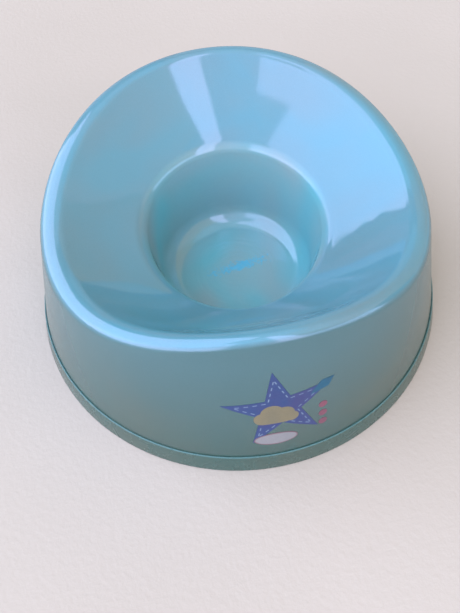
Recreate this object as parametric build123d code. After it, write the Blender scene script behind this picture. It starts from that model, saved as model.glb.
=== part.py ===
from build123d import *

import os
from math import asin, atan2, cos, hypot, pi, radians, sin, tan

# A round, low baby potty: one moulding that is bowl, dished seat, rolled saddle-shaped rim and flared
# skirt, open underneath, with an anti-slip ring round its lower edge and a small print on its front.
# Millimetres. The origin is on the floor, on the axis of the bowl and the skirt. +Z is up, the child's
# back is towards +Y, and the print faces -Y. Angles round the axis are counted from +Y.

# ---- overall form ----
SKIRT_RADIUS = 139.0         # outside of the skirt, measured at floor level
DRAFT = radians(10.6)        # flare of the skirt and taper of the bowl, so that potties nest
WALL = 2.5
TURN_STEPS = 36              # points on each ring that the skin is lofted through
ROLL_STEPS = 8               # rings across the rim's roll, the seat, the lip's roll and the bowl's corner
SEAT_STEPS = 8
LIP_STEPS = 6
CORNER_STEPS = 5

# ---- rolled rim: height of its top, a saddle that dips beside the thighs ----
RIM_ROLL = 8.5               # mean radius of the roll
RIM_ROLL_SPREAD = -2.5       # tighter at the front and the back than beside the thighs
RIM_MEAN = 108.5
RIM_BACK_LIFT = 6.6
RIM_SADDLE = 13.0            # front and back higher than the sides
RIM_SHOULDER = -4.3          # widens the back rest and narrows the front shield

# ---- seat dish and bowl ----
LIP_HEIGHT = 75.5            # where the seat turns down into the bowl, at the sides
LIP_TILT = 11.0              # higher at the back, lower at the front
LIP_ROLL = 12.0
SEAT_HOLLOW = radians(9.0)   # how much the dish steepens towards the rim and flattens towards the lip
BOWL_FLOOR = 22.0            # top of the bowl's floor
BOWL_RADIUS = 48.7           # bowl wall carried straight down to the level of the bowl's floor
BOWL_CORNER = 15.0           # rounding between bowl wall and floor

# ---- anti-slip ring clipped over the lower edge of the skirt ----
RING_HEIGHT = 15.0
RING_SKIN = 1.0              # thickness outside the skirt
RING_SOLE = 2.0              # thickness under the skirt's edge
RING_INSIDE = 9.0            # height of its inner leg
RING_LEG = 1.4
RING_EDGE = 0.4              # chamfer on the ring's upper outer edge

# ---- print on the front of the skirt, seen from the front: x to the right, z up ----
INK = 0.15
INK_GAP = 0.02               # clearance that keeps the inks off the moulding
PRINT_BAND = (RING_HEIGHT + 5.0, 105.0)
STAR_CENTRE = (2.0, 59.0)
STAR_RADIUS = 34.5
STAR_WAIST = 0.37            # inner corners as a share of the radius
STAR_LEAN = 6.5              # degrees anticlockwise
STITCH_INSET = 0.80          # stitched outline as a share of the star
STITCH = (2.6, 0.7)
STITCHES_PER_EDGE = 4
STITCH_SCRAP = 0.3           # a dash cut shorter than this area is left out
CLOUD_CENTRE = (-0.5, 52.0)
CLOUD_PUFFS = ((-7.6, 0.0, 5.6), (-2.2, 4.6, 7.0), (5.0, 2.6, 6.2), (9.2, -1.2, 4.4))
CLOUD_BASE = (18.0, 6.0)
CLOUD_BASE_DROP = 2.6        # from the cloud's centre to its base's middle
CLOUD_BASE_CORNER = 2.99
OVAL_CENTRE = (-0.9, 31.0)
OVAL_RADII = (13.4, 5.6)
OVAL_BORDER = 0.8
KITE_CENTRE = (27.2, 70.4)
KITE_HALF = (4.2, 8.6)
KITE_SHOULDER = 2.15         # how far above its centre the kite is widest
KITE_LEAN = -58.0
DOT_CENTRES = ((28.2, 52.2), (28.3, 44.0), (28.4, 35.8))
DOT_RADIUS = 2.7
PRINT_START = 150.0          # distance in front of the axis from which the print is pressed on
PRINT_DEPTH = 44.0


def skirt_radius(z):
    return SKIRT_RADIUS - z * tan(DRAFT)


def bowl_radius(z):
    return BOWL_RADIUS + (z - BOWL_FLOOR) * tan(DRAFT)


def rim_top(a):
    return RIM_MEAN + RIM_BACK_LIFT * cos(a) + RIM_SADDLE * cos(2 * a) + RIM_SHOULDER * cos(3 * a)


def rim_roll(a):
    return RIM_ROLL + RIM_ROLL_SPREAD * cos(2 * a)


def lip_top(a):
    return LIP_HEIGHT + LIP_TILT * cos(a)


def arc(centre, radius, first, last, steps):
    """Points on an arc; angles are counted from outward, through up."""
    angles = [first + (last - first) * k / steps for k in range(steps + 1)]
    return [(centre[0] + radius * cos(t), centre[1] + radius * sin(t)) for t in angles]


def dish(start, start_slope, end, end_slope, inset, steps):
    """Concave seat line between rim and lip, inset along its own normal."""
    reach = hypot(end[0] - start[0], end[1] - start[1]) / 3
    one = (start[0] - reach * cos(start_slope), start[1] - reach * sin(start_slope))
    two = (end[0] + reach * cos(end_slope), end[1] + reach * sin(end_slope))
    points = []
    for k in range(steps + 1):
        s = k / steps
        r, z = (
            (1 - s) ** 3 * p + 3 * s * (1 - s) ** 2 * q + 3 * s * s * (1 - s) * u + s ** 3 * w
            for p, q, u, w in zip(start, one, two, end)
        )
        slope = start_slope + (end_slope - start_slope) * s
        points.append((r + inset * sin(slope), z - inset * cos(slope)))
    return points


def profile(a, inset, foot):
    """Bands of the half section at angle a, from the foot over the rim down to the bowl's floor."""
    radius = rim_roll(a)
    rim_z = rim_top(a) - radius
    rim = (skirt_radius(rim_z) - radius / cos(DRAFT), rim_z)
    lip_z = lip_top(a) - LIP_ROLL
    lip = (bowl_radius(lip_z) + LIP_ROLL / cos(DRAFT), lip_z)
    slope = atan2(rim[1] - lip[1], rim[0] - lip[0])
    slope += asin((radius - LIP_ROLL) / hypot(rim[1] - lip[1], rim[0] - lip[0]))
    rim_slope = slope + SEAT_HOLLOW
    lip_slope = slope - SEAT_HOLLOW
    corner_z = BOWL_FLOOR + BOWL_CORNER
    corner = (bowl_radius(corner_z) - BOWL_CORNER / cos(DRAFT), corner_z)

    roll = arc(rim, radius - inset, DRAFT, pi / 2 + rim_slope, ROLL_STEPS)
    skirt = [(skirt_radius(foot) - inset / cos(DRAFT), foot), roll[0]]
    rim_end = (rim[0] - radius * sin(rim_slope), rim[1] + radius * cos(rim_slope))
    lip_start = (lip[0] - LIP_ROLL * sin(lip_slope), lip[1] + LIP_ROLL * cos(lip_slope))
    seat = dish(rim_end, rim_slope, lip_start, lip_slope, inset, SEAT_STEPS)
    lip_roll = arc(lip, LIP_ROLL - inset, pi / 2 + lip_slope, pi - DRAFT, LIP_STEPS)
    corner_roll = arc(corner, BOWL_CORNER + inset, -DRAFT, -pi / 2, CORNER_STEPS)
    wall = [lip_roll[-1], corner_roll[0]]
    return [skirt, roll, seat, lip_roll, wall, corner_roll]


def ring(points):
    """Closed smooth curve through one point of the section at each angle."""
    marks = [k / TURN_STEPS for k in range(TURN_STEPS + 1)]
    return Wire([Edge.make_spline(points, periodic=True, parameters=marks)])


def skin_solid(inset, foot):
    """Everything under the potty's skin, moved inwards by inset and cut off flat at the foot."""
    angles = [2 * pi * k / TURN_STEPS for k in range(TURN_STEPS)]
    sections = [profile(a, inset, foot) for a in angles]
    faces = []
    for band in range(len(sections[0])):
        rings = [
            ring([(s[band][k][0] * sin(a), s[band][k][0] * cos(a), s[band][k][1])
                  for a, s in zip(angles, sections)])
            for k in range(len(sections[0][band]))
        ]
        faces += Shell.make_loft(rings, ruled=len(rings) == 2).faces()
        if band == 0:
            faces.append(Face(rings[0]))
    faces.append(Face(rings[-1]))
    return Solid(Shell(faces))


def potty_shell():
    hollow = skin_solid(WALL, foot=-RING_SOLE)
    return skin_solid(0.0, foot=RING_SOLE) - hollow


def foot_ring(shell):
    """U-shaped strip: an outer skin, a sole and a short inner leg, closed round the skirt's edge."""
    wall = WALL / cos(DRAFT)
    outer = SKIRT_RADIUS + RING_SKIN
    fall = tan(DRAFT)
    section = Polygon(
        (outer, 0),
        (outer - fall * (RING_HEIGHT - RING_EDGE), RING_HEIGHT - RING_EDGE),
        (outer - fall * RING_HEIGHT - RING_EDGE, RING_HEIGHT),
        (SKIRT_RADIUS - fall * RING_HEIGHT - wall / 2, RING_HEIGHT),
        (SKIRT_RADIUS - fall * RING_INSIDE - wall / 2, RING_INSIDE),
        (SKIRT_RADIUS - fall * RING_INSIDE - wall - RING_LEG, RING_INSIDE),
        (SKIRT_RADIUS - wall - RING_LEG, 0),
        align=None,
    )
    return revolve(Plane.XZ * section, Axis.Z) - shell


def star(scale):
    """Five-pointed outline about the star's centre."""
    tips = []
    for k in range(10):
        turn = radians(STAR_LEAN + 36 * k)
        r = STAR_RADIUS * scale * (STAR_WAIST if k % 2 else 1.0)
        tips.append((STAR_CENTRE[0] - r * sin(turn), STAR_CENTRE[1] + r * cos(turn)))
    return tips


def stitches():
    """Dashes along each edge of the inset star."""
    corners = star(STITCH_INSET)
    dashes = []
    for (x0, z0), (x1, z1) in zip(corners, corners[1:] + corners[:1]):
        lean = atan2(z1 - z0, x1 - x0) * 180 / pi
        for k in range(STITCHES_PER_EDGE):
            s = (k + 0.5) / STITCHES_PER_EDGE
            place = Pos(x0 + (x1 - x0) * s, z0 + (z1 - z0) * s) * Rot(0, 0, lean)
            dashes.append(place * Rectangle(*STITCH))
    return dashes


def cloud():
    puffs = [Pos(x, z) * Circle(r) for x, z, r in CLOUD_PUFFS]
    base = Pos(0, -CLOUD_BASE_DROP) * RectangleRounded(*CLOUD_BASE, CLOUD_BASE_CORNER)
    return Pos(*CLOUD_CENTRE) * (Sketch() + puffs + base)


def print_outlines():
    """Flat outlines of every ink, none over another."""
    oval = Pos(*OVAL_CENTRE) * Ellipse(*OVAL_RADII)
    field = Pos(*OVAL_CENTRE) * Ellipse(OVAL_RADII[0] - OVAL_BORDER, OVAL_RADII[1] - OVAL_BORDER)
    across, along = KITE_HALF
    corners = ((0, along), (-across, KITE_SHOULDER), (0, -along), (across, KITE_SHOULDER))
    kite = Pos(*KITE_CENTRE) * Rot(0, 0, KITE_LEAN) * Polygon(*corners, align=None)
    puffs = cloud() - oval
    covers = oval + puffs + kite
    uncovered = [dash - covers for dash in stitches()]
    dashes = Sketch() + [dash for dash in uncovered if dash.faces() and dash.area > STITCH_SCRAP]
    return {
        "print_star": make_face(Polyline(*star(1.0), close=True)) - covers - dashes,
        "print_star_stitches": dashes,
        "print_cloud": puffs,
        "print_oval": field,
        "print_oval_border": oval - field,
        "print_kite": kite,
        "print_dots": Sketch() + [Pos(x, z) * Circle(DOT_RADIUS) for x, z in DOT_CENTRES],
    }


def prints():
    """Inks as thin pieces of one conical layer round the skirt."""
    low, high = PRINT_BAND
    inner = INK_GAP / cos(DRAFT)
    outer = (INK_GAP + INK) / cos(DRAFT)
    section = Polygon(
        (skirt_radius(low) + inner, low),
        (skirt_radius(low) + outer, low),
        (skirt_radius(high) + outer, high),
        (skirt_radius(high) + inner, high),
        align=None,
    )
    layer = revolve(Plane.XZ * section, Axis.Z)
    front = Plane.XZ.offset(PRINT_START)
    return {
        name: layer & extrude(front * outline, amount=-PRINT_DEPTH)
        for name, outline in print_outlines().items()
    }


def main():
    os.makedirs("parts", exist_ok=True)
    shell = potty_shell()
    nodes = {"potty_shell": shell, "foot_ring": foot_ring(shell), **prints()}
    for name, solid in nodes.items():
        export_step(solid, f"parts/{name}.step")
        print(name, round(solid.volume), "mm3")


main()
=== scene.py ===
from math import asin, atan2, cos, exp, hypot, pi, radians, sin, tan

import bpy
from mathutils import Matrix, Vector


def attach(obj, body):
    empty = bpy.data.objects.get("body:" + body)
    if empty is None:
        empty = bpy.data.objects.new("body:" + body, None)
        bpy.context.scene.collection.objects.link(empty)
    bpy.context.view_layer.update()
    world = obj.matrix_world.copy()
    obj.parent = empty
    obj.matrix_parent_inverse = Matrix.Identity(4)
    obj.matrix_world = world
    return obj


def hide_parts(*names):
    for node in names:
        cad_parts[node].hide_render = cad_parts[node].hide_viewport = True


# A round baby potty of glossy pearl plastic, in metres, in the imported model's frame: the origin is on
# the floor on the potty's axis, +Z is up, the back rest is towards +Y and the print faces -Y.
# Angles round the axis are counted from +Y.

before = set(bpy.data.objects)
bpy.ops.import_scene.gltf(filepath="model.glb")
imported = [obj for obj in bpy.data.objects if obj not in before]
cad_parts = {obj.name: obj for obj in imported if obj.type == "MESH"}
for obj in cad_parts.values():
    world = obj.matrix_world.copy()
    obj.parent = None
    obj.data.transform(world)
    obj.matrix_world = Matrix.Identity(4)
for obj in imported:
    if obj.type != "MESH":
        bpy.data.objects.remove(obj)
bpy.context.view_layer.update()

# ---- the moulding, with the design's own dimensions ----
SKIRT_RADIUS = 0.139
DRAFT = radians(10.6)
WALL = 0.0025
RIM_ROLL = 0.0085
RIM_ROLL_SPREAD = -0.0025
RIM_MEAN = 0.1085
RIM_BACK_LIFT = 0.0066
RIM_SADDLE = 0.013
RIM_SHOULDER = -0.0043
LIP_HEIGHT = 0.0755
LIP_TILT = 0.011
LIP_ROLL = 0.012
SEAT_HOLLOW = radians(9.0)
BOWL_FLOOR = 0.022
BOWL_RADIUS = 0.0487
BOWL_CORNER = 0.015

# ---- the foot ring ----
RING_SOLE = 0.002            # thickness of the sole under the skirt's edge
RING_HEIGHT = 0.015
RING_SKIN = 0.001
RING_INSIDE = 0.009
RING_LEG = 0.0014
RING_GAP = 0.00003           # keeps its hidden faces off the moulding
RING_BEAD = 0.00035          # rounding of its upper edge
RING_TOE = 0.0008            # rounding of its lower outer edge
RING_ROUND = 0.0005          # rounding of its inner leg

# ---- marks that the mould leaves on the bowl's floor ----
TOOL_RING_PITCH = 0.0042
TOOL_RING_HEIGHT = 0.00004
TOOL_RING_LIMIT = 0.029
GATE_RADIUS = 0.0016
GATE_DEPTH = 0.00035
SMEAR_CENTRE = (0.0022, 0.0032)
SMEAR_HALF = (0.0195, 0.0042)
SMEAR_TURN = radians(9.0)

# ---- fineness of the meshes ----
SHELL_TURNS = 288
RING_TURNS = 360
ROUND_STEPS = 6
SKIN_STEPS = {"skirt": 24, "roll": 28, "seat": 40, "lip": 20, "wall": 12, "corner": 16, "floor": 60}
HOLLOW_STEPS = {"skirt": 12, "roll": 14, "seat": 20, "lip": 12, "wall": 6, "corner": 10, "floor": 16}

# ---- colours of the plastics and the floor ----
PEARL_TEAL = (0.066, 0.230, 0.292)
PEARL_GREY = (0.092, 0.212, 0.254)
# The bowl's paler colours are a painted glow of light coming through its thin wall and bouncing round
# inside it.
BOWL_PAINTED_GLOW_TEAL = (0.092, 0.345, 0.400)
BOWL_PAINTED_GLOW_GREY = (0.195, 0.285, 0.290)
SMEAR_TEAL = (0.075, 0.345, 0.485)
# The skirt's colours are painted shade and a painted greenish reflection of the floor, darkest and
# greenest near the foot.
SKIRT_PAINTED_SHADE_HIGH = (0.052, 0.125, 0.128)
SKIRT_PAINTED_SHADE_TEAL = (0.034, 0.078, 0.062)
SKIRT_PAINTED_SHADE_GREY = (0.050, 0.080, 0.056)
RING_TEAL = (0.034, 0.082, 0.070)
RING_GREY = (0.048, 0.082, 0.066)
# A painted highlight along the ring's upper edge.
RING_PAINTED_HIGHLIGHT = (0.050, 0.140, 0.142)
FLOOR_PALE = (0.345, 0.355, 0.310)
FLOOR_PALER = (0.37, 0.38, 0.335)

# ---- inks: each node's material, its colour and a deeper tone of it ----
INKS = {
    "print_star": ("violet_ink_face", (0.014, 0.042, 0.135), (0.024, 0.036, 0.125)),
    "print_star_stitches": ("stitch_ink_face", (0.120, 0.190, 0.270), (0.100, 0.160, 0.240)),
    "print_cloud": ("cream_ink_face", (0.150, 0.140, 0.080), (0.125, 0.124, 0.078)),
    "print_oval": ("white_ink_face", (0.190, 0.205, 0.215), (0.160, 0.180, 0.195)),
    "print_oval_border": ("border_ink_face", (0.140, 0.085, 0.105), (0.120, 0.080, 0.100)),
    "print_kite": ("teal_ink_face", (0.002, 0.075, 0.130), (0.003, 0.065, 0.118)),
    "print_dots": ("pink_ink_face", (0.150, 0.050, 0.080), (0.130, 0.048, 0.076)),
}

# ---- surfaces: noise scales are per metre, depths are in metres ----
CLOUD_BAND = (0.35, 0.65)    # the stretch of a noise that makes soft clouds
GRAIN_BAND = (0.3, 0.7)      # the stretch that makes fine grain
PEARL_CLOUDS = 11.0
PEARL_FLAKES = 1900.0
PEARL_SMUDGES = 38.0
PEARL_SATIN = 0.16           # extra roughness of the skirt's outer face
PEARL_WAVES = 16.0
PEARL_WAVE_DEPTH = 0.0005
PEARL_PEEL = 420.0
PEARL_PEEL_DEPTH = 0.000012
PEARL_IOR = 1.79
PEARL_TINT = (0.56, 0.72, 1.0, 1.0)
SKIRT_FADE = (0.0018, 0.0002)     # inward of the skirt's face, where its painted shade and satin finish begin and are full
BOWL_FADE = (0.0003, 0.0040)      # outward of the bowl's wall, where its painted glow is full and ends
PAINTED_SHADE_CLIMB = (0.020, 0.100)            # heights between which the skirt's painted shade and painted reflection turn bluer
SMEAR_GRAIN = 260.0
SMEAR_RAG = 0.75
SMEAR_EDGE = (0.45, 1.05)
SMEAR_LIMIT = (0.001, 0.002)      # above the bowl's floor, where the smear ends
RING_CLOUDS = 16.0
RING_SCUFFS = 90.0
RING_GRAIN = 700.0
RING_GRAIN_DEPTH = 0.000006
RING_HIGHLIGHT_BAND = (0.0011, 0.0004)      # below the ring's upper edge, where its painted highlight begins and is full
INK_CLOUDS = 60.0
INK_MOTTLE = 2600.0
INK_DULLNESS = 500.0
INK_TOOTH = 1500.0
INK_TOOTH_DEPTH = 0.00001
FLOOR_CLOUDS = 3.0
FLOOR_GRAIN = 260.0
FLOOR_GRAIN_DEPTH = 0.0003
FLOOR_ROUGHNESS = 0.7
SCATTER_RADIUS = (0.4, 0.8, 1.0)

# ---- the camera ----
CAMERA_AIM = Vector((-0.0114, -0.0376, 0.0349))
CAMERA_DISTANCE = 0.4974
CAMERA_AZIMUTH = radians(-7.48)
CAMERA_ELEVATION = radians(57.0)
CAMERA_ROLL = radians(-3.47)
CAMERA_LENS = 44.05
CAMERA_SENSOR = 36.0
CAMERA_NEAR = 0.01

# ---- studio light: soft panels on a dome ----
# Each has its span of azimuth, its span of elevation and its colour. Azimuth is counted in degrees
# from -Y towards +X, and a later panel covers an earlier one.
ROOM = (0.34, 0.38, 0.38)
BACKDROP = (0.68, 0.66, 0.65)     # what the camera sees past the floor
KEY = (3.40, 3.20, 4.00)
FILL = (1.47, 1.48, 1.74)
PANELS = {
    "overhead": ((-180.0, 180.0), (64.0, 90.0), (1.15, 1.30, 1.35)),
    "key_left": ((-143.0, -25.0), (-5.0, 90.0), KEY),
    "key_step": ((-148.0, -140.0), (43.0, 80.0), KEY),
    "key_back": ((-153.0, -145.0), (47.0, 80.0), KEY),
    "key_low": ((-100.0, -25.0), (-5.0, 24.0), (4.40, 4.00, 4.90)),
    "front_fill": ((-25.0, 9.0), (-5.0, 74.0), FILL),
    "front_gap": ((-46.0, -24.0), (53.0, 74.0), FILL),
    "front_strip": ((9.0, 28.5), (-5.0, 76.0), (4.60, 4.00, 4.90)),
    "front_low": ((28.0, 80.0), (-5.0, 20.0), (2.60, 2.80, 3.30)),
    "right_fill": ((28.0, 100.0), (20.0, 64.0), (1.60, 1.05, 0.75)),
    "right_back": ((100.0, 150.0), (-5.0, 64.0), (1.15, 0.70, 0.40)),
    "back_right": ((150.0, 181.0), (-5.0, 45.0), (0.80, 0.92, 0.98)),
    "back_left": ((-181.0, -153.0), (-5.0, 30.0), (0.70, 0.45, 0.42)),
}
PANEL_FADE = radians(1.0)         # angle over which a panel's edge fades, each way
FLOOR_HALF = 6.0


# ---- the section of the moulding ----

def skirt_radius(z):
    return SKIRT_RADIUS - z * tan(DRAFT)


def bowl_radius(z):
    return BOWL_RADIUS + (z - BOWL_FLOOR) * tan(DRAFT)


def rim_top(a):
    return RIM_MEAN + RIM_BACK_LIFT * cos(a) + RIM_SADDLE * cos(2 * a) + RIM_SHOULDER * cos(3 * a)


def rim_roll(a):
    return RIM_ROLL + RIM_ROLL_SPREAD * cos(2 * a)


def lip_top(a):
    return LIP_HEIGHT + LIP_TILT * cos(a)


def line(start, end, steps):
    """Evenly spaced points from start up to, but not including, end."""
    return [tuple(s + (e - s) * k / steps for s, e in zip(start, end)) for k in range(steps)]


def arc(centre, radius, first, last, steps):
    """Points on an arc, without its last one; angles are counted from outward, through up."""
    angles = [first + (last - first) * k / steps for k in range(steps)]
    return [(centre[0] + radius * cos(t), centre[1] + radius * sin(t)) for t in angles]


def bezier(points, s):
    """Point at s, from 0 to 1, on the cubic curve of four points."""
    weights = ((1 - s) ** 3, 3 * s * (1 - s) ** 2, 3 * s * s * (1 - s), s ** 3)
    return tuple(sum(w * value for w, value in zip(weights, values)) for values in zip(*points))


def dish(start, start_slope, end, end_slope, inset, steps):
    """Concave seat line between rim and lip, inset along its own normal, without its last point."""
    reach = hypot(end[0] - start[0], end[1] - start[1]) / 3
    one = (start[0] - reach * cos(start_slope), start[1] - reach * sin(start_slope))
    two = (end[0] + reach * cos(end_slope), end[1] + reach * sin(end_slope))
    points = []
    for k in range(steps):
        r, z = bezier((start, one, two, end), k / steps)
        slope = start_slope + (end_slope - start_slope) * k / steps
        points.append((r + inset * sin(slope), z - inset * cos(slope)))
    return points


def roll_centres(a):
    """Centres of the rim's and the lip's rolls at angle a."""
    rim_z = rim_top(a) - rim_roll(a)
    lip_z = lip_top(a) - LIP_ROLL
    rim = (skirt_radius(rim_z) - rim_roll(a) / cos(DRAFT), rim_z)
    lip = (bowl_radius(lip_z) + LIP_ROLL / cos(DRAFT), lip_z)
    return rim, lip


def seat_slope(a):
    """Slope of the straight line that touches both rolls."""
    rim, lip = roll_centres(a)
    run = rim[0] - lip[0]
    rise = rim[1] - lip[1]
    return atan2(rise, run) + asin((rim_roll(a) - LIP_ROLL) / hypot(rise, run))


def section(a, inset, steps):
    """Half section at angle a, from the foot over the rim and the seat to the middle of the bowl."""
    radius = rim_roll(a)
    rim, lip = roll_centres(a)
    rim_slope = seat_slope(a) + SEAT_HOLLOW
    lip_slope = seat_slope(a) - SEAT_HOLLOW
    rim_end = (rim[0] - radius * sin(rim_slope), rim[1] + radius * cos(rim_slope))
    lip_start = (lip[0] - LIP_ROLL * sin(lip_slope), lip[1] + LIP_ROLL * cos(lip_slope))
    lip_end = (lip[0] - (LIP_ROLL - inset) * cos(DRAFT), lip[1] + (LIP_ROLL - inset) * sin(DRAFT))
    corner_z = BOWL_FLOOR + BOWL_CORNER
    corner = (bowl_radius(corner_z) - BOWL_CORNER / cos(DRAFT), corner_z)

    foot = (skirt_radius(RING_SOLE) - inset / cos(DRAFT), RING_SOLE)
    roll = arc(rim, radius - inset, DRAFT, pi / 2 + rim_slope, steps["roll"])
    seat = dish(rim_end, rim_slope, lip_start, lip_slope, inset, steps["seat"])
    lip_arc = arc(lip, LIP_ROLL - inset, pi / 2 + lip_slope, pi - DRAFT, steps["lip"])
    corner_arc = arc(corner, BOWL_CORNER + inset, -DRAFT, -pi / 2, steps["corner"])
    skirt = line(foot, roll[0], steps["skirt"])
    wall = line(lip_end, corner_arc[0], steps["wall"])
    floor = line((corner[0], BOWL_FLOOR - inset), (0.0, BOWL_FLOOR - inset), steps["floor"])
    return skirt + roll + seat + lip_arc + wall + corner_arc + floor


def floor_marks(r):
    """Height of the tooling rings and the gate's dimple on the bowl's floor."""
    rings = TOOL_RING_HEIGHT * cos(2 * pi * r / TOOL_RING_PITCH) if r < TOOL_RING_LIMIT else 0.0
    return rings - GATE_DEPTH * exp(-((r / GATE_RADIUS) ** 2))


# ---- meshes ----

def lathe(name, sections, start_pole=None, end_pole=None):
    """Closed mesh through one closed or pole-ended section at each even step round the axis."""
    turns = len(sections)
    rows = len(sections[0])
    vertices = []
    for k, points in enumerate(sections):
        a = 2 * pi * k / turns
        vertices += [(r * sin(a), r * cos(a), z) for r, z in points]
    faces = []
    last = rows if start_pole is None else rows - 1
    for k in range(turns):
        here = k * rows
        there = (k + 1) % turns * rows
        for j in range(last):
            up = (j + 1) % rows
            faces.append((here + j, there + j, there + up, here + up))
    for pole, j, flip in ((start_pole, 0, True), (end_pole, rows - 1, False)):
        if pole is None:
            continue
        vertices.append(pole)
        for k in range(turns):
            pair = (k * rows + j, (k + 1) % turns * rows + j)
            faces.append((*(reversed(pair) if flip else pair), len(vertices) - 1))
    mesh = bpy.data.meshes.new(name)
    mesh.from_pydata(vertices, [], faces)
    mesh.validate()
    mesh.shade_smooth()
    piece = bpy.data.objects.new(name, mesh)
    bpy.context.scene.collection.objects.link(piece)
    return piece


def marked_skin(a):
    """Outer section at angle a, with the mould's marks on the bowl's floor."""
    skin = section(a, 0.0, SKIN_STEPS)
    edge = len(skin) - SKIN_STEPS["floor"]
    return skin[:edge] + [(r, z + floor_marks(r)) for r, z in skin[edge:]]


def potty_moulding():
    """Skin and hollow in one closed surface: from the bowl's middle out, down, round the foot and back."""
    sections = []
    for k in range(SHELL_TURNS):
        a = 2 * pi * k / SHELL_TURNS
        sections.append(marked_skin(a)[::-1] + section(a, WALL, HOLLOW_STEPS))
    top = (0.0, 0.0, BOWL_FLOOR + floor_marks(0.0))
    under = (0.0, 0.0, BOWL_FLOOR - WALL)
    return lathe("pearl_moulding", sections, start_pole=top, end_pole=under)


def rounded(corners, radii):
    """Closed outline with each corner replaced by a tangent arc, or kept where its radius is 0."""
    points = []
    for i, radius in enumerate(radii):
        corner = Vector(corners[i])
        if radius == 0.0:
            points.append(tuple(corner))
            continue
        before = (Vector(corners[i - 1]) - corner).normalized()
        after = (Vector(corners[(i + 1) % len(corners)]) - corner).normalized()
        half = before.angle(after) / 2
        middle = corner + (before + after).normalized() * radius / sin(half)
        first = corner + before * radius / tan(half) - middle
        second = corner + after * radius / tan(half) - middle
        sweep = first.angle_signed(second)
        for k in range(ROUND_STEPS + 1):
            points.append(tuple(middle + Matrix.Rotation(-sweep * k / ROUND_STEPS, 2) @ first))
    return points


def gripping_ring():
    """U-shaped strip round the skirt's edge, with a rounded toe and a soft upper edge."""
    fall = tan(DRAFT)
    skin = SKIRT_RADIUS + RING_GAP
    hollow = SKIRT_RADIUS - WALL / cos(DRAFT) - RING_GAP
    outer = SKIRT_RADIUS + RING_SKIN
    foot = RING_SOLE - RING_GAP
    corners = [
        (outer, 0.0),
        (outer - fall * RING_HEIGHT, RING_HEIGHT),
        (skin - fall * RING_HEIGHT, RING_HEIGHT),
        (skin - fall * foot, foot),
        (hollow - fall * foot, foot),
        (hollow - fall * RING_INSIDE, RING_INSIDE),
        (hollow - fall * RING_INSIDE - RING_LEG, RING_INSIDE),
        (hollow - RING_LEG, 0.0),
    ]
    radii = [RING_TOE, RING_BEAD, RING_BEAD, 0.0, 0.0, RING_ROUND, RING_ROUND, RING_ROUND]
    outline = rounded(corners, radii)
    return lathe("gripping_ring", [outline[::-1]] * RING_TURNS)


# ---- shader building blocks ----

def add(tree, kind, values=None, **settings):
    """New shader node with its settings, and its input values by name or number."""
    made = tree.nodes.new(kind)
    for key, value in settings.items():
        setattr(made, key, value)
    for key, value in (values or {}).items():
        made.inputs[key].default_value = value
    return made


def link(tree, source, target):
    tree.links.new(source, target)


def new_material(name):
    material = bpy.data.materials.new(name)
    material.use_nodes = True
    tree = material.node_tree
    return material, tree, tree.nodes["Principled BSDF"]


def object_place(tree):
    return add(tree, "ShaderNodeTexCoord").outputs["Object"]


def separate(tree, vector):
    made = add(tree, "ShaderNodeSeparateXYZ")
    link(tree, vector, made.inputs[0])
    return made.outputs


def noise(tree, place, scale, detail=3.0, distortion=0.0):
    made = add(tree, "ShaderNodeTexNoise", {"Scale": scale, "Detail": detail, "Distortion": distortion})
    link(tree, place, made.inputs["Vector"])
    return made.outputs["Fac"]


def spread(tree, value, band, result):
    """Value mapped from one range to another, and held at its ends."""
    made = add(tree, "ShaderNodeMapRange", {1: band[0], 2: band[1], 3: result[0], 4: result[1]})
    link(tree, value, made.inputs[0])
    return made.outputs[0]


def rise(tree, value, band):
    return spread(tree, value, band, (0.0, 1.0))


def fall_off(tree, value, band):
    return spread(tree, value, band, (1.0, 0.0))


def compute(tree, operation, one, two=0.0):
    made = add(tree, "ShaderNodeMath", operation=operation)
    for number, value in enumerate((one, two)):
        if isinstance(value, (int, float)):
            made.inputs[number].default_value = value
        else:
            link(tree, value, made.inputs[number])
    return made.outputs[0]


def length(tree, one, two):
    squares = [compute(tree, "MULTIPLY", side, side) for side in (one, two)]
    return compute(tree, "SQRT", compute(tree, "ADD", *squares))


def blend(tree, factor, one, two):
    """Mix of two colours, each a colour or a socket."""
    made = add(tree, "ShaderNodeMix", data_type="RGBA")
    for number, value in ((6, one), (7, two)):
        if isinstance(value, tuple):
            made.inputs[number].default_value = (*value, 1.0)
        else:
            link(tree, value, made.inputs[number])
    link(tree, factor, made.inputs[0])
    return made.outputs[2]


def dappled(tree, colour, factor):
    """Colour made lighter and darker by a factor round 1."""
    made = add(tree, "ShaderNodeVectorMath", operation="SCALE")
    link(tree, colour, made.inputs[0])
    link(tree, factor, made.inputs["Scale"])
    return made.outputs[0]


def bump(tree, height, distance, below=None):
    made = add(tree, "ShaderNodeBump", {"Distance": distance})
    link(tree, height, made.inputs["Height"])
    if below is not None:
        link(tree, below, made.inputs["Normal"])
    return made.outputs["Normal"]


def scatter(shader, weight, scale):
    """Light that spreads a little way under the surface, blue light furthest."""
    shader.inputs["Subsurface Weight"].default_value = weight
    shader.inputs["Subsurface Radius"].default_value = SCATTER_RADIUS
    shader.inputs["Subsurface Scale"].default_value = scale


# ---- materials ----

def outside_skirt(tree, radius, height):
    """1 on the skirt's outer face and falling to 0 over the rim's roll."""
    cone = compute(tree, "ADD", radius, compute(tree, "MULTIPLY", height, tan(DRAFT)))
    return rise(tree, cone, [SKIRT_RADIUS - depth for depth in SKIRT_FADE])


def inside_bowl(tree, radius, height):
    """1 on the bowl's wall and floor and falling to 0 over the lip's roll."""
    cone = compute(tree, "SUBTRACT", radius, compute(tree, "MULTIPLY", height, tan(DRAFT)))
    return fall_off(tree, cone, [bowl_radius(0.0) + depth for depth in BOWL_FADE])


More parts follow.
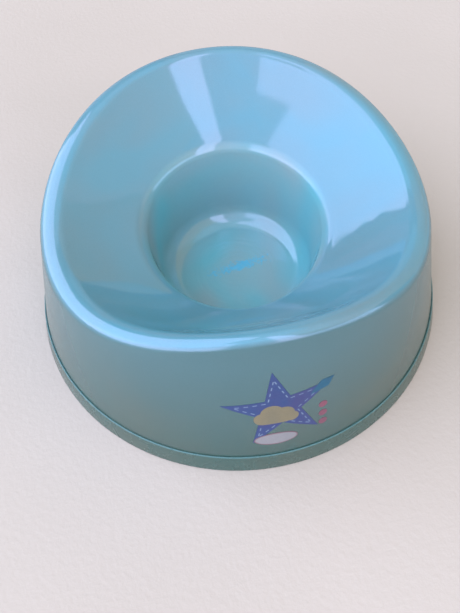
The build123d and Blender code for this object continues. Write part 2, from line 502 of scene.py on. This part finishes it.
def gate_smear(tree, place, height):
    """1 in a ragged streak across the gate on the bowl's floor, and 0 away from it."""
    pose = {"Location": (*SMEAR_CENTRE, 0.0), "Rotation": (0.0, 0.0, SMEAR_TURN)}
    turned = add(tree, "ShaderNodeMapping", pose, vector_type="TEXTURE")
    link(tree, place, turned.inputs["Vector"])
    sides = separate(tree, turned.outputs[0])
    along, across = (compute(tree, "DIVIDE", side, half) for side, half in zip(sides, SMEAR_HALF))
    rag = spread(tree, noise(tree, place, SMEAR_GRAIN, 4.0, 1.5), GRAIN_BAND, (-SMEAR_RAG, SMEAR_RAG))
    reach = compute(tree, "ADD", length(tree, along, across), rag)
    low = fall_off(tree, height, [BOWL_FLOOR + above for above in SMEAR_LIMIT])
    return compute(tree, "MULTIPLY", fall_off(tree, reach, SMEAR_EDGE), low)


def pearl_colour(tree, place, skirt):
    """Pearl clouds: paler inside the bowl as a painted glow, greener and deeper down the skirt as painted
    shade and a painted reflection, with fine flakes.
    """
    x, y, height = separate(tree, place)
    cloud = rise(tree, noise(tree, place, PEARL_CLOUDS, 2.0, 0.6), CLOUD_BAND)
    bowl = inside_bowl(tree, length(tree, x, y), height)
    seat_colour = blend(tree, cloud, PEARL_TEAL, PEARL_GREY)
    # painted glow inside the bowl
    bowl_painted_glow = blend(tree, cloud, BOWL_PAINTED_GLOW_TEAL, BOWL_PAINTED_GLOW_GREY)
    upper_colour = blend(tree, bowl, seat_colour, bowl_painted_glow)
    upper_colour = blend(tree, gate_smear(tree, place, height), upper_colour, SMEAR_TEAL)
    # painted shade and painted reflection on the skirt, turning bluer higher up
    low_painted_shade = blend(tree, cloud, SKIRT_PAINTED_SHADE_TEAL, SKIRT_PAINTED_SHADE_GREY)
    skirt_painted_shade = blend(tree, rise(tree, height, PAINTED_SHADE_CLIMB), low_painted_shade, SKIRT_PAINTED_SHADE_HIGH)
    flakes = spread(tree, noise(tree, place, PEARL_FLAKES, 2.0), GRAIN_BAND, (0.96, 1.04))
    return dappled(tree, blend(tree, skirt, upper_colour, skirt_painted_shade), flakes)


def pearl_plastic():
    """Glossy seat and bowl with smudges and slow waves, and a satin skirt."""
    material, tree, shader = new_material("pearl_blue_plastic")
    place = object_place(tree)
    x, y, height = separate(tree, place)
    skirt = outside_skirt(tree, length(tree, x, y), height)
    link(tree, pearl_colour(tree, place, skirt), shader.inputs["Base Color"])
    smudge = spread(tree, noise(tree, place, PEARL_SMUDGES, 4.0, 0.8), (0.4, 0.75), (0.05, 0.09))
    satin = compute(tree, "MULTIPLY", skirt, PEARL_SATIN)
    link(tree, compute(tree, "ADD", smudge, satin), shader.inputs["Roughness"])
    waves = bump(tree, noise(tree, place, PEARL_WAVES, 1.0), PEARL_WAVE_DEPTH)
    peel = bump(tree, noise(tree, place, PEARL_PEEL, 2.0), PEARL_PEEL_DEPTH, waves)
    link(tree, peel, shader.inputs["Normal"])
    shader.inputs["IOR"].default_value = PEARL_IOR
    shader.inputs["Specular Tint"].default_value = PEARL_TINT
    scatter(shader, 0.2, 0.004)
    return material


def ring_plastic():
    """Satin plastic in soft clouds, scuffed, with a painted highlight along its upper edge."""
    material, tree, shader = new_material("ring_blue_plastic")
    place = object_place(tree)
    height = separate(tree, place)[2]
    cloud = rise(tree, noise(tree, place, RING_CLOUDS, 3.0, 0.5), CLOUD_BAND)
    # painted highlight along the upper edge
    edge_highlight = rise(tree, height, [RING_HEIGHT - depth for depth in RING_HIGHLIGHT_BAND])
    body = blend(tree, cloud, RING_TEAL, RING_GREY)
    link(tree, blend(tree, edge_highlight, body, RING_PAINTED_HIGHLIGHT), shader.inputs["Base Color"])
    scuff = spread(tree, noise(tree, place, RING_SCUFFS, 5.0, 1.2), (0.45, 0.75), (0.26, 0.34))
    link(tree, scuff, shader.inputs["Roughness"])
    grain = bump(tree, noise(tree, place, RING_GRAIN, 3.0), RING_GRAIN_DEPTH)
    link(tree, grain, shader.inputs["Normal"])
    scatter(shader, 0.15, 0.003)
    return material


def ink(name, colour, deep):
    """Printed ink: two close tones in soft clouds, screen-printing mottle and a satin face."""
    material, tree, shader = new_material(name)
    place = object_place(tree)
    cloud = rise(tree, noise(tree, place, INK_CLOUDS, 2.0, 0.4), CLOUD_BAND)
    mottle = spread(tree, noise(tree, place, INK_MOTTLE, 2.0), GRAIN_BAND, (0.9, 1.08))
    tone = dappled(tree, blend(tree, cloud, colour, deep), mottle)
    link(tree, tone, shader.inputs["Base Color"])
    dull = spread(tree, noise(tree, place, INK_DULLNESS, 3.0), (0.35, 0.7), (0.28, 0.45))
    link(tree, dull, shader.inputs["Roughness"])
    tooth = bump(tree, noise(tree, place, INK_TOOTH, 2.0), INK_TOOTH_DEPTH)
    link(tree, tooth, shader.inputs["Normal"])
    return material


def pale_floor():
    material, tree, shader = new_material("pale_floor")
    place = object_place(tree)
    cloud = rise(tree, noise(tree, place, FLOOR_CLOUDS, 4.0, 0.4), CLOUD_BAND)
    link(tree, blend(tree, cloud, FLOOR_PALE, FLOOR_PALER), shader.inputs["Base Color"])
    shader.inputs["Roughness"].default_value = FLOOR_ROUGHNESS
    grain = bump(tree, noise(tree, place, FLOOR_GRAIN, 4.0), FLOOR_GRAIN_DEPTH)
    link(tree, grain, shader.inputs["Normal"])
    return material


def paint(piece, material):
    piece.data.materials.clear()
    piece.data.materials.append(material)


# ---- the studio ----

def panel_mask(tree, angles, spans):
    """1 inside the spans of azimuth and elevation, fading to 0 at their edges."""
    product = 1.0
    for angle, span in zip(angles, spans):
        low, high = (radians(limit) for limit in span)
        after = rise(tree, angle, (low - PANEL_FADE, low + PANEL_FADE))
        until = fall_off(tree, angle, (high - PANEL_FADE, high + PANEL_FADE))
        inside = compute(tree, "MULTIPLY", after, until)
        product = compute(tree, "MULTIPLY", inside, product)
    return product


def studio_dome():
    """World of soft panels, which the camera itself sees as a plain backdrop."""
    world = bpy.data.worlds.new("studio_dome")
    world.use_nodes = True
    tree = world.node_tree
    x, y, z = separate(tree, add(tree, "ShaderNodeTexCoord").outputs["Generated"])
    azimuth = compute(tree, "ARCTAN2", x, compute(tree, "MULTIPLY", y, -1.0))
    elevation = compute(tree, "ARCSINE", z)
    glow = ROOM
    for azimuths, elevations, colour in PANELS.values():
        mask = panel_mask(tree, (azimuth, elevation), (azimuths, elevations))
        glow = blend(tree, mask, glow, colour)
    seen = add(tree, "ShaderNodeLightPath").outputs["Is Camera Ray"]
    glow = blend(tree, seen, glow, BACKDROP)
    link(tree, glow, tree.nodes["Background"].inputs["Color"])
    bpy.context.scene.world = world


def studio_floor():
    mesh = bpy.data.meshes.new("studio_floor")
    corners = [(x * FLOOR_HALF, y * FLOOR_HALF, 0.0) for x, y in ((-1, -1), (1, -1), (1, 1), (-1, 1))]
    mesh.from_pydata(corners, [], [(0, 1, 2, 3)])
    piece = bpy.data.objects.new("studio_floor", mesh)
    bpy.context.scene.collection.objects.link(piece)
    paint(piece, pale_floor())


def camera():
    lens = bpy.data.cameras.new("camera")
    lens.lens = CAMERA_LENS
    lens.sensor_width = CAMERA_SENSOR
    lens.clip_start = CAMERA_NEAR
    placed = bpy.data.objects.new("camera", lens)
    flat = cos(CAMERA_ELEVATION)
    backward = Vector((sin(CAMERA_AZIMUTH) * flat, -cos(CAMERA_AZIMUTH) * flat, sin(CAMERA_ELEVATION)))
    level = backward.to_track_quat("Z", "Y").to_matrix()
    turned = level @ Matrix.Rotation(CAMERA_ROLL, 3, "Z")
    placed.matrix_world = Matrix.Translation(CAMERA_AIM + backward * CAMERA_DISTANCE) @ turned.to_4x4()
    bpy.context.scene.collection.objects.link(placed)
    bpy.context.scene.camera = placed


# ---- build ----

camera()

moulding = potty_moulding()
paint(moulding, pearl_plastic())
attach(moulding, "root")
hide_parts("potty_shell")

grip = gripping_ring()
paint(grip, ring_plastic())
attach(grip, "root")
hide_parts("foot_ring")

for node, (name, colour, deep) in INKS.items():
    paint(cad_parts[node], ink(name, colour, deep))

studio_floor()
studio_dome()
bpy.context.scene.view_settings.view_transform = "Standard"
